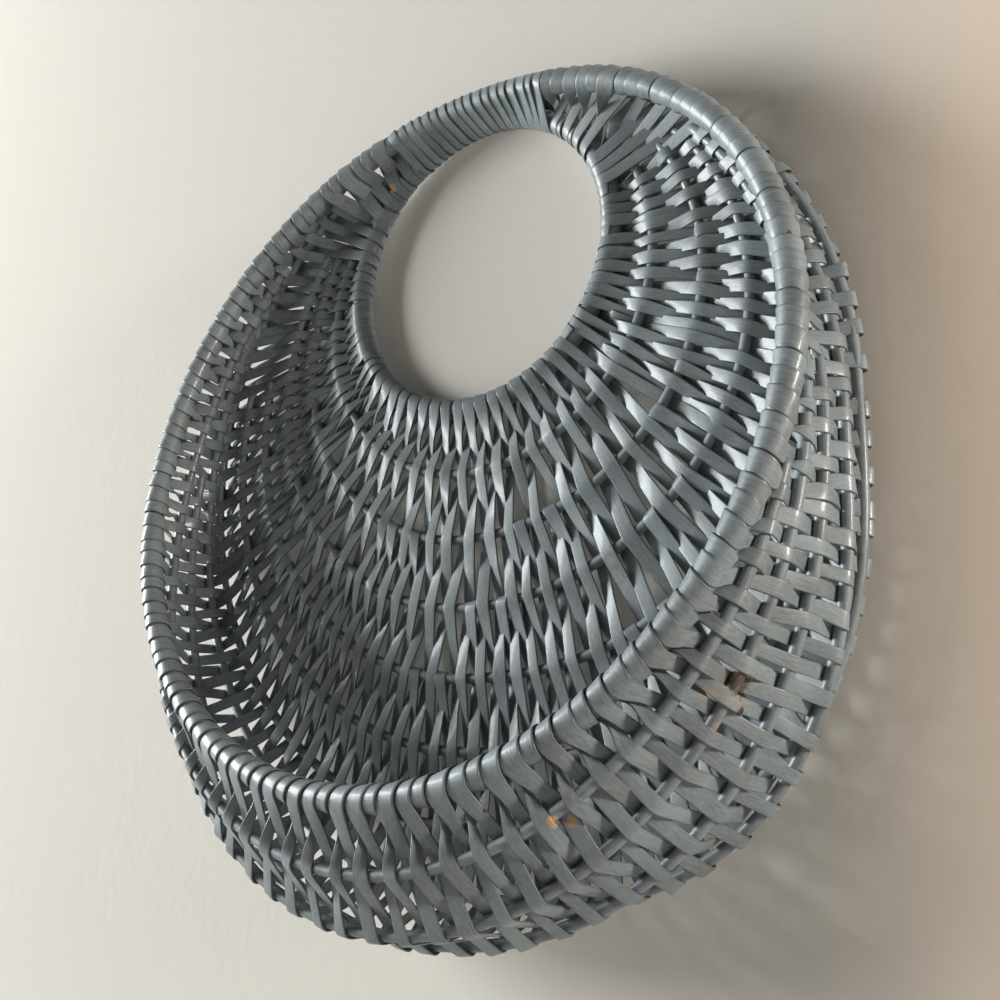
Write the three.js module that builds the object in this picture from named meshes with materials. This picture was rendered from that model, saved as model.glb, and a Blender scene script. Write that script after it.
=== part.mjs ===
// Wall pocket basket: two cane hoops lashed together over a handle, round ribs that swing from
// one end of the handle under the pocket to the other, and flat weavers that run to and fro
// between the hoops, over and under the ribs. Millimetres, +Z up, the wall behind at +Y.
// The origin is the seat under the middle of the handle, where a hook carries the basket.
import * as THREE from 'three';

// Hoops
const RIM_RADIUS = 177.8;
const RIM_LEAN = 10;
const RIM_FORWARD = 14;
const RIM_RISE = 6.6;
const RIM_TOP_FLAT = 4;
const EYE_RADIUS = 79.5;
const HOOP_ROD_RADIUS = 4.76;

// Ribs: the fades are counted in ribs
const RIB_ROD_RADIUS = 2.38;
const BACK_RIBS = 6;
const BELLY_RIBS = 4;
const BACK_CORNER_DROP = 358;
const BELLY_PULL_BACK = 62;
const BELLY_PULL_FRONT = 77;
const BELLY_NARROWING = 0.13;
const BELLY_SPREAD = 7;
const BACK_SWING = 16;
const SWING_FADE = 5.5;
const CORNER_SAG = 26;
const SAG_FADE = 2.3;
const STEEPEST_BACK_FLANK = 0.74;
const STEEPEST_BELLY_FLANK = 0.9;
const RIB_OVERHANG = 0.3;

// Weavers: the share is the part of a row's pitch that its strip fills
const WEAVERS = 21;
const ROWS_PER_WEAVER = 4;
const STRIP_THICKNESS = 1;
const STRIP_SHARE = 0.8;
const STRIP_CLEARANCE = 0.4;

// Lashing of the handle
const HANDLE_LENGTH = 98;
const LASHING_TURNS = 16;
const LASHING_GAP = 0.9;
const LASHING_CLEARANCE = 0.6;

// Facets
const HOOP_SIDES = 8;
const RIM_STEPS = 60;
const EYE_STEPS = 40;
const RIB_SIDES = 5;
const RIB_STEPS = 48;
const WRAP_STEP = THREE.MathUtils.degToRad(60);
const LASHING_CORNERS = 4;
const CREST_PASSES = 8;
const SHARP_BEND = THREE.MathUtils.degToRad(75);

// Sizes that follow from the ones above
const ROWS = WEAVERS * ROWS_PER_WEAVER;
const LEAN = THREE.MathUtils.degToRad(RIM_LEAN);
const RIB_REACH = RIB_ROD_RADIUS + STRIP_CLEARANCE + STRIP_THICKNESS / 2;
const HOOP_REACH = HOOP_ROD_RADIUS + STRIP_CLEARANCE + STRIP_THICKNESS / 2;
const WRAP_RADIUS = HOOP_REACH / Math.cos(WRAP_STEP / 2);
const EYE_TO_WALL = (WRAP_RADIUS + STRIP_THICKNESS / 2) * Math.cos(WRAP_STEP / 2);
const LASHING_STEP = Math.PI / LASHING_CORNERS;
const LASHING_REACH = HOOP_ROD_RADIUS + LASHING_CLEARANCE + STRIP_THICKNESS / 2;
const LASHING_RADIUS = LASHING_REACH / Math.cos(LASHING_STEP / 2);
const SEAT_DROP = (LASHING_RADIUS + STRIP_THICKNESS / 2) * Math.cos(LASHING_STEP / 2);
const FULL_TURN = 2 * Math.PI;

// Colours of the painted cane
const HOOP_COLOUR = 0x77858f;
const RIB_COLOUR = 0x6d7780;
const WEAVER_COLOUR = 0x7c8992;
const LASHING_COLOUR = 0x74838e;

const SIDEWAYS = new THREE.Vector3(1, 0, 0);

// An element is a hoop or a rib: a ring hung from its top point, with its bottom point below.
// Both points lie in the middle plane, as Y and Z measured from the wall and the eye hoop's top.
// Its swing and sag are how far it stands out of the ring, at the right and at the lower right.
function element(top, bottom, roundness, topFlat, swing, sag) {
  const drop = top.clone().sub(bottom);
  const radius = drop.length() / 2;
  return {
    centre: top.clone().add(bottom).multiplyScalar(0.5),
    upward: drop.normalize(),
    radius,
    halfWidth: radius * roundness,
    topFlat,
    swing,
    sag,
  };
}

// The point of an element at an angle from its top, clockwise as seen from the front
function pointOn(item, angle) {
  const right = Math.max(0, Math.sin(angle));
  const low = Math.max(0, -Math.cos(angle));
  const standOut = item.swing * right ** 2 + item.sag * (2 * right * low) ** 2;
  const rise = (item.radius + standOut) * Math.cos(angle);
  const flat = item.topFlat * Math.max(0, Math.cos(angle)) ** 8;
  return new THREE.Vector3(
    (item.halfWidth + standOut) * Math.sin(angle),
    item.centre.x + rise * item.upward.x,
    item.centre.y + rise * item.upward.y - flat,
  );
}

function tangentOn(item, angle) {
  const step = 0.001;
  return pointOn(item, angle + step).sub(pointOn(item, angle - step)).normalize();
}

// The ribs were bent by hand: on the right the middle ribs of the back stand furthest out, and
// the swing fades over the ribs that follow
function swingOf(index) {
  const middle = BACK_RIBS / 2;
  const growth = THREE.MathUtils.smoothstep(index, 0, middle);
  const decline = Math.max(0, 1 - (index - middle) / SWING_FADE);
  return BACK_SWING * Math.min(growth, decline);
}

// The pocket's corner sags at the lower right, and the ribs beside it follow in part
function sagOf(index) {
  return CORNER_SAG * Math.max(0, 1 - ((index - BACK_RIBS) / SAG_FADE) ** 2);
}

// The hoops and ribs in order from the eye hoop, down the back, round the belly, to the rim hoop.
// The belly ribs' tops are set forward or back, which spreads these ribs out at the sides.
function makeElements() {
  const eyeTop = new THREE.Vector2(-EYE_TO_WALL, 0);
  const eyeBottom = new THREE.Vector2(-EYE_TO_WALL, -2 * EYE_RADIUS);
  const rimTop = new THREE.Vector2(-EYE_TO_WALL - RIM_FORWARD, RIM_RISE);
  const rimDrop = new THREE.Vector2(Math.sin(LEAN), Math.cos(LEAN)).multiplyScalar(2 * RIM_RADIUS);
  const rimBottom = rimTop.clone().sub(rimDrop);
  const corner = new THREE.Vector2(-EYE_TO_WALL, -BACK_CORNER_DROP);
  const belly = new THREE.CubicBezierCurve(
    corner,
    new THREE.Vector2(corner.x, corner.y - BELLY_PULL_BACK),
    new THREE.Vector2(rimBottom.x, rimBottom.y - BELLY_PULL_FRONT),
    rimBottom,
  ).getSpacedPoints(BELLY_RIBS + 1);

  const last = BACK_RIBS + BELLY_RIBS + 1;
  const items = [];
  for (let index = 0; index <= last; index += 1) {
    const share = index / last;
    const bellyShare = Math.max(0, index - BACK_RIBS) / (BELLY_RIBS + 1);
    const top = eyeTop.clone().lerp(rimTop, share);
    top.x -= BELLY_SPREAD * Math.sin(FULL_TURN * bellyShare);
    const roundness = 1 - BELLY_NARROWING * Math.sin(Math.PI * bellyShare);
    let bottom = belly[Math.max(0, index - BACK_RIBS)];
    if (index === 0) {
      bottom = eyeBottom;
    } else if (index < BACK_RIBS) {
      const y = -EYE_TO_WALL;
      bottom = new THREE.Vector2(y, THREE.MathUtils.lerp(eyeBottom.y, corner.y, index / BACK_RIBS));
    }
    const topFlat = RIM_TOP_FLAT * share;
    const item = element(top, bottom, roundness, topFlat, swingOf(index), sagOf(index));
    items.push({ ...item, onBelly: index >= BACK_RIBS });
  }
  return items;
}

const elements = makeElements();
const RIM = elements.length - 1;
const EYE = 0;
const eyeHoop = elements[EYE];
const rimHoop = elements[RIM];
const cornerRib = elements[BACK_RIBS];

// The angle on an element where a ray meets it that starts on the middle line, above its middle
function angleAlongRay(item, ray, above) {
  const across = (Math.sin(ray) * item.radius) / item.halfWidth;
  const round = (Math.atan2(across, Math.cos(ray)) + FULL_TURN) % FULL_TURN;
  return round - Math.asin((above / item.radius) * Math.sin(round));
}

const HANDLE_RAY = HANDLE_LENGTH / 2 / EYE_RADIUS;
const HANDLE_RIM_ANGLE = angleAlongRay(rimHoop, HANDLE_RAY, RIM_RADIUS - EYE_RADIUS);

// Seen from the front, a row runs from the rim over the belly ribs to the corner rib along a ray
// from the middle of the rim, and from there up the back along a ray to the middle of the eye.
// The row number has a half for the line between two rows.
function angleOn(item, row) {
  const share = (row + 0.5) / ROWS;
  const rimAngle = THREE.MathUtils.lerp(HANDLE_RIM_ANGLE, FULL_TURN - HANDLE_RIM_ANGLE, share);
  const belly = item.onBelly ? item : cornerRib;
  const turn = angleAlongRay(belly, rimAngle, rimHoop.centre.y - belly.centre.y);
  if (item.onBelly) {
    return turn;
  }
  const across = belly.radius * Math.sin(turn);
  const up = belly.radius * Math.cos(turn) - belly.radius + eyeHoop.radius;
  const ray = (Math.atan2(across, up) + FULL_TURN) % FULL_TURN;
  return angleAlongRay(item, ray, item.radius - eyeHoop.radius);
}

function crossing(index, row) {
  const item = elements[index];
  return pointOn(item, angleOn(item, row));
}

function reachOf(index) {
  return index === EYE || index === RIM ? HOOP_REACH : RIB_REACH;
}

// A strip that passes from one side of an element to the other side of the next needs room, on
// the right and on the left
function fits(a, b, weaver) {
  const firstRow = weaver * ROWS_PER_WEAVER;
  const rows = [firstRow, ROWS - 1 - firstRow];
  const room = rows.map((row) => crossing(a, row).distanceTo(crossing(b, row)));
  const steepest = a < BACK_RIBS ? STEEPEST_BACK_FLANK : STEEPEST_BELLY_FLANK;
  return (reachOf(a) + reachOf(b)) / Math.min(...room) <= steepest;
}

// From the handle downwards, a rib is let in between two elements as soon as there is room
function letInRibs() {
  const present = [EYE, RIM];
  const firstWeaver = new Map();
  const crossed = [];
  for (let weaver = 0; weaver <= (WEAVERS - 1) / 2; weaver += 1) {
    let place = 0;
    while (place < present.length - 1) {
      const [a, b] = [present[place], present[place + 1]];
      const middle = Math.round((a + b) / 2);
      if (b - a > 1 && fits(a, middle, weaver) && fits(middle, b, weaver)) {
        present.splice(place + 1, 0, middle);
        firstWeaver.set(middle, weaver);
      } else {
        place += 1;
      }
    }
    crossed[weaver] = [...present];
    crossed[WEAVERS - 1 - weaver] = [...present];
  }
  return { firstWeaver, crossed };
}

const { firstWeaver, crossed } = letInRibs();

// A solid skin over rings of points, closed on itself or capped at both ends
function loft(rings, closed) {
  const sides = rings[0].length;
  const spans = closed ? rings.length : rings.length - 1;
  const faces = [];
  for (let ring = 0; ring < spans; ring += 1) {
    const here = ring * sides;
    const there = ((ring + 1) % rings.length) * sides;
    for (let side = 0; side < sides; side += 1) {
      const next = (side + 1) % sides;
      faces.push(here + side, here + next, there + next);
      faces.push(here + side, there + next, there + side);
    }
  }
  if (!closed) {
    const end = (rings.length - 1) * sides;
    for (let side = 1; side < sides - 1; side += 1) {
      faces.push(0, side + 1, side);
      faces.push(end, end + side, end + side + 1);
    }
  }
  const geometry = new THREE.BufferGeometry().setFromPoints(rings.flat());
  geometry.setIndex(faces);
  geometry.computeVertexNormals();
  return geometry;
}

// A round rod's ring of points at an angle of an element, with a flat side towards the wall
function rodRing(item, angle, radius, sides) {
  const place = pointOn(item, angle);
  const along = tangentOn(item, angle);
  const upward = new THREE.Vector3(0, item.upward.x, item.upward.y);
  const forward = SIDEWAYS.clone().cross(upward);
  const outward = forward.clone().cross(along);
  return Array.from({ length: sides }, (_, side) => {
    const turn = ((side + 0.5) / sides) * FULL_TURN;
    return place
      .clone()
      .addScaledVector(outward, radius * Math.cos(turn))
      .addScaledVector(forward, radius * Math.sin(turn));
  });
}

function hoopGeometry(item, steps) {
  const rings = Array.from({ length: steps }, (_, step) =>
    rodRing(item, (step / steps) * FULL_TURN, HOOP_ROD_RADIUS, HOOP_SIDES),
  );
  return loft(rings, true);
}

// A rib starts just above the first row that crosses it, and ends as far past the last
function ribGeometry(index) {
  const item = elements[index];
  const start = angleOn(item, firstWeaver.get(index) * ROWS_PER_WEAVER - RIB_OVERHANG);
  const rings = Array.from({ length: RIB_STEPS + 1 }, (_, step) => {
    const angle = THREE.MathUtils.lerp(start, FULL_TURN - start, step / RIB_STEPS);
    return rodRing(item, angle, RIB_ROD_RADIUS, RIB_SIDES);
  });
  return loft(rings, false);
}

// The four corners of a flat strip
function stripRing(place, across, face, width) {
  const corners = [[1, 1], [-1, 1], [-1, -1], [1, -1]];
  return corners.map(([side, front]) =>
    place
      .clone()
      .addScaledVector(across, (side * width) / 2)
      .addScaledVector(face, (front * STRIP_THICKNESS) / 2),
  );
}

// How a row lies on one element: its centre, the direction along the element, the way onward from
// the eye hoop to the rim, the way out of the pocket, and the width of strip that fits there
function station(present, place, row) {
  const index = present[place];
  const item = elements[index];
  const before = crossing(present[Math.max(0, place - 1)], row);
  const after = crossing(present[Math.min(present.length - 1, place + 1)], row);
  const along = tangentOn(item, angleOn(item, row));
  const onward = after.sub(before);
  if (index === EYE && present.length > 2) {
    onward.y = 0;
  }
  onward.addScaledVector(along, -onward.dot(along)).normalize();
  const pitch = crossing(index, row + 0.5).distanceTo(crossing(index, row - 0.5));
  return {
    centre: crossing(index, row),
    along,
    onward,
    outside: onward.clone().cross(along),
    width: STRIP_SHARE * pitch,
  };
}

// The turn of a strip round a hoop, or its tail on one, as angles from the side it comes in on
const WRAP_ANGLES = [-0.5, 0.5, 1.5, 2.5, 3.5].map((steps) => steps * WRAP_STEP);
const TAIL_ANGLES = WRAP_ANGLES.slice(0, 2);

// The way from a hoop's middle to a strip that wraps it, away from the pocket at a right angle
function wrapDirection(spot, isEye, side, angle) {
  const far = spot.onward.clone().multiplyScalar(isEye ? -1 : 1);
  const way = spot.outside.clone().multiplyScalar(side * Math.cos(angle));
  return way.addScaledVector(far, Math.sin(angle));
}

function sideOf(turn, place) {
  return (turn + place) % 2 === 0 ? 1 : -1;
}

// Where a strip bends over a rib: one corner or more, set so that its straight flanks to the
// places before and after it, and the flats between corners, all just clear the rod
function crestOver(spot, side, before, after) {
  function touch(place, sense) {
    const way = place.clone().sub(spot.centre);
    const across = way.dot(spot.onward);
    const up = side * way.dot(spot.outside);
    const bearing = (Math.atan2(up, across) + FULL_TURN) % FULL_TURN;
    return bearing + sense * Math.acos(RIB_REACH / Math.hypot(across, up));
  }
  const leave = touch(after, 1) % FULL_TURN;
  const bend = touch(before, -1) - leave;
  const corners = Math.max(1, Math.ceil(bend / SHARP_BEND));
  const radius = RIB_REACH / Math.cos(Math.max(0, bend) / corners / 2);
  return Array.from({ length: corners }, (_, corner) => {
    const angle = leave + bend * (1 - (corner + 0.5) / corners);
    const way = spot.onward.clone().multiplyScalar(Math.cos(angle));
    way.addScaledVector(spot.outside, side * Math.sin(angle));
    return { way, centre: spot.centre.clone().addScaledVector(way, radius) };
  });
}

// The corners of one row's strip on its elements. One crest sets the slope of the flank to the
// next, so they are settled in a few passes.
function rowCrests(spots, turn) {
  const last = spots.length - 1;
  const crests = spots.map((spot, place) => {
    const side = sideOf(turn, place);
    const onHoop = place === 0 || place === last;
    const angle = onHoop ? WRAP_ANGLES[0] : 0;
    const way = wrapDirection(spot, place === 0, side, angle);
    const radius = onHoop ? WRAP_RADIUS : RIB_REACH;
    return [{ way, centre: spot.centre.clone().addScaledVector(way, radius) }];
  });
  for (let pass = 0; pass < CREST_PASSES; pass += 1) {
    for (let place = 1; place < last; place += 1) {
      const before = crests[place - 1].at(-1).centre;
      const after = crests[place + 1][0].centre;
      crests[place] = crestOver(spots[place], sideOf(turn, place), before, after);
    }
  }
  return crests;
}

// A weaver goes out to the rim and back, over and under the ribs, in one unbroken strip
function weaverGeometry(weaver) {
  const present = crossed[weaver];
  const last = present.length - 1;
  const rings = [];

  // Rings on a hoop while the strip turns from one row into the next, or ends there
  function wrap(place, row, side, face, angles, rowStep) {
    angles.forEach((angle) => {
      const share = (angle - angles[0]) / (WRAP_ANGLES.at(-1) - WRAP_ANGLES[0]);
      const spot = station(present, place, row + rowStep * share);
      const way = wrapDirection(spot, place === 0, side, angle);
      const centre = spot.centre.clone().addScaledVector(way, WRAP_RADIUS);
      rings.push(stripRing(centre, spot.along, way.multiplyScalar(face * side), spot.width));
    });
  }

  for (let turn = 0; turn < ROWS_PER_WEAVER; turn += 1) {
    const row = weaver * ROWS_PER_WEAVER + turn;
    const face = turn % 2 === 0 ? 1 : -1;
    const spots = present.map((_, place) => station(present, place, row));
    const crests = rowCrests(spots, turn);
    const order = present.map((_, place) => (face > 0 ? place : last - place));
    if (turn === 0) {
      wrap(0, row, sideOf(turn, 0), face, [...TAIL_ANGLES].reverse(), 0);
    }
    order.slice(1, -1).forEach((place) => {
      const { along, width } = spots[place];
      const corners = face > 0 ? crests[place] : crests[place].reverse();
      corners.forEach(({ way, centre }) => {
        const front = way.multiplyScalar(face * sideOf(turn, place));
        rings.push(stripRing(centre, along, front, width));
      });
    });
    const end = order.at(-1);
    const ends = turn === ROWS_PER_WEAVER - 1;
    wrap(end, row, sideOf(turn, end), face, ends ? TAIL_ANGLES : WRAP_ANGLES, ends ? 0 : 1);
  }
  return loft(rings, false);
}

// The handle's section at a share of its length: the two rods side by side, with the lashing's
// path round both as a list of places and the way each faces
function handleSection(share) {
  const eyeAngle = share * HANDLE_RAY;
  const rimAngle = share * HANDLE_RIM_ANGLE;
  const eyePoint = pointOn(eyeHoop, eyeAngle);
  const rimPoint = pointOn(rimHoop, rimAngle);
  const along = tangentOn(eyeHoop, eyeAngle).add(tangentOn(rimHoop, rimAngle)).normalize();
  const toRim = rimPoint.clone().sub(eyePoint);
  toRim.addScaledVector(along, -toRim.dot(along)).normalize();
  const over = toRim.clone().cross(along);
  const path = [];
  [rimPoint, eyePoint].forEach((rod, half) => {
    for (let corner = 0; corner < LASHING_CORNERS; corner += 1) {
      const turn = half * Math.PI + (corner + 0.5) * LASHING_STEP;
      const face = over.clone().multiplyScalar(Math.cos(turn));
      face.addScaledVector(toRim, Math.sin(turn));
      path.push({ place: rod.clone().addScaledVector(face, LASHING_RADIUS), face });
    }
  });
  return { along, path };
}

// The lashing is one flat strip wound round both hoops from one end of the handle to the other.
// It starts and ends along the straight side between the rods.
function lashingRings() {
  const pitch = HANDLE_LENGTH / (LASHING_TURNS + 1);
  const width = pitch - LASHING_GAP;
  const perTurn = 2 * LASHING_CORNERS;
  const count = LASHING_TURNS * perTurn;
  const reach = 1 - pitch / HANDLE_LENGTH;
  return Array.from({ length: count }, (_, step) => {
    const share = THREE.MathUtils.lerp(-reach, reach, step / (count - 1));
    const { along, path } = handleSection(share);
    const { place, face } = path[(step + perTurn - 1) % perTurn];
    return stripRing(place, along, face, width);
  });
}

// The least distance between points of the lashing's strip that lie about a turn apart
function leastGap(rings) {
  const perTurn = 2 * LASHING_CORNERS;
  let least = Infinity;
  for (let ring = 0; ring + perTurn < rings.length; ring += 1) {
    for (let near = perTurn - 1; near <= perTurn + 1 && ring + near < rings.length; near += 1) {
      for (const a of rings[ring]) {
        for (const b of rings[ring + near]) {
          least = Math.min(least, a.distanceTo(b));
        }
      }
    }
  }
  return least;
}

function painted(colour) {
  return new THREE.MeshStandardMaterial({ color: colour, roughness: 0.42, metalness: 0 });
}

function piece(name, geometry, colour) {
  const mesh = new THREE.Mesh(geometry, painted(colour));
  mesh.name = name;
  return mesh;
}

const hoops = new THREE.Group();
hoops.add(piece('rim_hoop', hoopGeometry(rimHoop, RIM_STEPS), HOOP_COLOUR));
hoops.add(piece('eye_hoop', hoopGeometry(eyeHoop, EYE_STEPS), HOOP_COLOUR));

const ribs = new THREE.Group();
[...firstWeaver.keys()]
  .sort((a, b) => a - b)
  .forEach((index) => {
    const onBack = index <= BACK_RIBS;
    const name = onBack ? `back_rib_${index}` : `belly_rib_${index - BACK_RIBS}`;
    ribs.add(piece(name, ribGeometry(index), RIB_COLOUR));
  });

const weave = new THREE.Group();
for (let weaver = 0; weaver < WEAVERS; weaver += 1) {
  const name = `weaver_${String(weaver + 1).padStart(2, '0')}`;
  weave.add(piece(name, weaverGeometry(weaver), WEAVER_COLOUR));
}

const handle = new THREE.Group();
const lashing = lashingRings();
console.log(`handle_lashing: least gap to itself ${leastGap(lashing).toFixed(2)} mm`);
handle.add(piece('handle_lashing', loft(lashing, false), LASHING_COLOUR));

const basket = new THREE.Group();
basket.add(hoops, ribs, weave, handle);
basket.position.set(0, EYE_TO_WALL, SEAT_DROP);

export default basket;
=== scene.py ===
"""Looks of a wall pocket basket of painted cane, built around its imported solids.

Every piece is a profile carried along a path, worked out with whole numpy arrays in metres in the
frame of the solids: the hook seat under the handle is the origin, +Z is up and +Y is to the wall.
"""

import logging
from dataclasses import dataclass, field
from enum import Enum
from functools import reduce
from operator import add
from typing import Callable, Optional, Sequence, Union

import bpy
import numpy as np
from mathutils import Matrix


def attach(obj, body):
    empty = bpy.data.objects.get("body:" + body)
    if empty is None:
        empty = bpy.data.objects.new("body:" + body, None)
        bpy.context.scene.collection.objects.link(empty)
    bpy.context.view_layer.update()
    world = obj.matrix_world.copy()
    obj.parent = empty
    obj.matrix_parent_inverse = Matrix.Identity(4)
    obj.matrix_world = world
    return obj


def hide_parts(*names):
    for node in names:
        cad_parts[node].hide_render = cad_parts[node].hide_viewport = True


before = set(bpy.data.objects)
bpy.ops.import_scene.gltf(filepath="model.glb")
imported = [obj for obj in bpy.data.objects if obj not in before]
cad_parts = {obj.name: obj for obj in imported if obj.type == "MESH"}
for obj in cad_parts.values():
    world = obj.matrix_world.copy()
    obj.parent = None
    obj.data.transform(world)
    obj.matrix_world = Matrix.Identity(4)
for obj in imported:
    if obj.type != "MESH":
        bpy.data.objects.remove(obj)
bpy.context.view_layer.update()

LOG = logging.getLogger("basket")
MM = 0.001
FULL_TURN = 2.0 * np.pi
ROOT_BODY = "root"
CHART_WIDTH = 6.6 * MM
NOISE_MEAN = 0.5
SAME_PLACE = 1e-7
TINY = 1e-12

Array = np.ndarray
Number = Union[int, float]
Pair = tuple[float, float]
Triple = tuple[float, float, float]
Pieces = dict[str, bpy.types.Object]


def unit(vectors: Array) -> Array:
    """Scale each vector on an array's last axis to length one."""
    return vectors / np.maximum(np.linalg.norm(vectors, axis=-1, keepdims=True), TINY)


def square(vectors: Array, axis: Array) -> Array:
    """Take from vectors their parts along unit axes, which leaves them square to these."""
    return vectors - np.sum(vectors * axis, axis=-1, keepdims=True) * axis


def lengths(points: Array) -> Array:
    """Length along a polyline from its start to each of its points."""
    return np.concatenate([[0.0], np.cumsum(np.linalg.norm(np.diff(points, axis=0), axis=1))])


def smoothstep(low: float, high: float, value: Array) -> Array:
    """Ease values from 0 at low to 1 at high by the cubic 3t^2 - 2t^3."""
    share = np.clip((np.asarray(value, float) - low) / (high - low), 0.0, 1.0)
    return share * share * (3.0 - 2.0 * share)


@dataclass(frozen=True)
class GuideRing:
    """One hoop or rib line: a leaning ring, flattened a little at its top."""

    centre: Pair
    upward: Pair
    radius: float
    half_width: float
    top_flat: float
    swing: float
    sag: float
    top_power: int = 8

    def points(self, angle: Array) -> Array:
        """Points at angles from the top: the ring's circle less top_flat times cos^8 near the top.

        The ring stands out by swing times sin^2 at the right and by sag times (2 sin cos)^2 at the
        lower right.

        Args:
            angle: Angles in radians, clockwise as seen from the front.

        Returns:
            Array of points, one row of x, y, z for each angle.
        """
        angle = np.asarray(angle, float)
        right, low = np.maximum(0.0, np.sin(angle)), np.maximum(0.0, -np.cos(angle))
        out = self.swing * right**2 + self.sag * (2.0 * right * low) ** 2
        up = (self.radius + out) * np.cos(angle)
        drop = self.top_flat * np.maximum(0.0, np.cos(angle)) ** self.top_power
        return np.stack(
            [
                (self.half_width + out) * np.sin(angle),
                self.centre[0] + up * self.upward[0],
                self.centre[1] + up * self.upward[1] - drop,
            ],
            axis=-1,
        )

    def tangents(self, angle: Array) -> Array:
        """Unit directions of growing angle, from a central difference of the points."""
        step = 1e-4
        return unit(self.points(np.asarray(angle) + step) - self.points(np.asarray(angle) - step))


@dataclass
class BasketForm:
    """The guide rings of the basket and the layout of its rows, as the solids have them."""

    rim_radius: float = 177.8 * MM
    rim_lean: float = np.radians(10.0)
    rim_forward: float = 14.0 * MM
    rim_rise: float = 6.6 * MM
    rim_top_flat: float = 4.0 * MM
    eye_radius: float = 79.5 * MM
    seat_drop: float = 6.322 * MM
    back_ribs: int = 6
    belly_ribs: int = 4
    corner_drop: float = 358.0 * MM
    pull_back: float = 62.0 * MM
    pull_front: float = 77.0 * MM
    narrowing: float = 0.13
    belly_spread: float = 7.0 * MM
    back_swing: float = 16.0 * MM
    swing_fade: float = 5.5
    corner_sag: float = 26.0 * MM
    sag_fade: float = 2.3
    handle_length: float = 98.0 * MM
    rows: int = 168
    first_sector: tuple[int, ...] = (0, 2, 2, 2, 4, 4, 1, 3, 5, 2, 6, 0)
    sectors: int = 21
    curve_points: int = 2001
    rings: list[GuideRing] = field(init=False)
    handle_ray: float = field(init=False)
    handle_rim_angle: float = field(init=False)

    def __post_init__(self) -> None:
        """Work out the rings and the angles at which the handle ends."""
        self.rings = self._make_rings()
        self.handle_ray = self.handle_length / 2.0 / self.eye_radius
        above = self.rim_radius - self.eye_radius
        self.handle_rim_angle = float(self._along_ray(self.rings[self.rim], self.handle_ray, above))

    @property
    def rim(self) -> int:
        """Number of the rim's ring, which is the last."""
        return self.back_ribs + self.belly_ribs + 1

    @property
    def rows_per_sector(self) -> int:
        """How many rows one weaver has."""
        return self.rows // self.sectors

    def level(self, sector: int) -> int:
        """How many sectors lie between a sector and the nearer end of the handle."""
        return min(sector, self.sectors - 1 - sector)

    def _belly_line(self, corner: Array, rim_bottom: Array) -> Array:
        """Evenly spaced points of the belly's cubic curve, from the back corner to the rim's bottom.

        Args:
            corner: Y and Z of the back's lowest rib.
            rim_bottom: Y and Z of the rim's lowest point.

        Returns:
            Array of belly_ribs + 2 rows of y and z.
        """
        share = np.linspace(0.0, 1.0, self.curve_points)[:, None]
        rest = 1.0 - share
        behind = corner - np.array([0.0, self.pull_back])
        before = rim_bottom - np.array([0.0, self.pull_front])
        curve = (
            rest**3 * corner
            + 3 * rest**2 * share * behind
            + 3 * rest * share**2 * before
            + share**3 * rim_bottom
        )
        length = lengths(curve)
        even = np.linspace(0.0, length[-1], self.belly_ribs + 2)
        return np.stack([np.interp(even, length, curve[:, axis]) for axis in range(2)], axis=1)

    def _make_rings(self) -> list[GuideRing]:
        """Rings from the eye hoop to the rim, each from its top and bottom point in the plane X = 0.

        Returns:
            The rings in order: eye hoop, back ribs, belly ribs, rim hoop.
        """
        lean = np.array([np.sin(self.rim_lean), np.cos(self.rim_lean)])
        eye_top = np.array([0.0, 0.0])
        rim_top = np.array([-self.rim_forward, self.rim_rise])
        rim_bottom = rim_top - 2.0 * self.rim_radius * lean
        eye_bottom = np.array([0.0, -2.0 * self.eye_radius])
        corner = np.array([0.0, -self.corner_drop])
        belly = self._belly_line(corner, rim_bottom)
        rings = []
        for index in range(self.rim + 1):
            share = index / self.rim
            on_belly = max(0, index - self.back_ribs) / (self.belly_ribs + 1)
            top = eye_top + (rim_top - eye_top) * share
            top[0] -= self.belly_spread * np.sin(FULL_TURN * on_belly)
            if index <= self.back_ribs:
                bottom = eye_bottom + (corner - eye_bottom) * index / self.back_ribs
            else:
                bottom = belly[index - self.back_ribs]
            radius = float(np.linalg.norm(top - bottom)) / 2.0
            centre = (top + bottom) / 2.0 + np.array([0.0, self.seat_drop])
            upward = (top - bottom) / (2.0 * radius)
            rings.append(
                GuideRing(
                    centre=(float(centre[0]), float(centre[1])),
                    upward=(float(upward[0]), float(upward[1])),
                    radius=radius,
                    half_width=radius * (1.0 - self.narrowing * np.sin(np.pi * on_belly)),
                    top_flat=self.rim_top_flat * share,
                    swing=self._swing(index),
                    sag=self._sag(index),
                )
            )
        return rings

    def _swing(self, index: int) -> float:
        """How far a rib stands out at the right: most for the middle rib of the back.

        Args:
            index: Number of the ring.

        Returns:
            The distance, which grows by a cubic ease and then falls off evenly.
        """
        middle = self.back_ribs / 2.0
        growth = float(smoothstep(0.0, middle, np.array(index)))
        decline = max(0.0, 1.0 - (index - middle) / self.swing_fade)
        return self.back_swing * min(growth, decline)

    def _sag(self, index: int) -> float:
        """How far a rib sags at the lower right: most for the rib at the pocket's corner."""
        return self.corner_sag * max(0.0, 1.0 - ((index - self.back_ribs) / self.sag_fade) ** 2)

    @staticmethod
    def _along_ray(ring: GuideRing, ray: Array, above: float) -> Array:
        """Angle on a ring where a ray from above its middle meets it, by the law of sines."""
        turn = np.arctan2(np.sin(ray) * ring.radius / ring.half_width, np.cos(ray)) % FULL_TURN
        return turn - np.arcsin(above / ring.radius * np.sin(turn))

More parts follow.
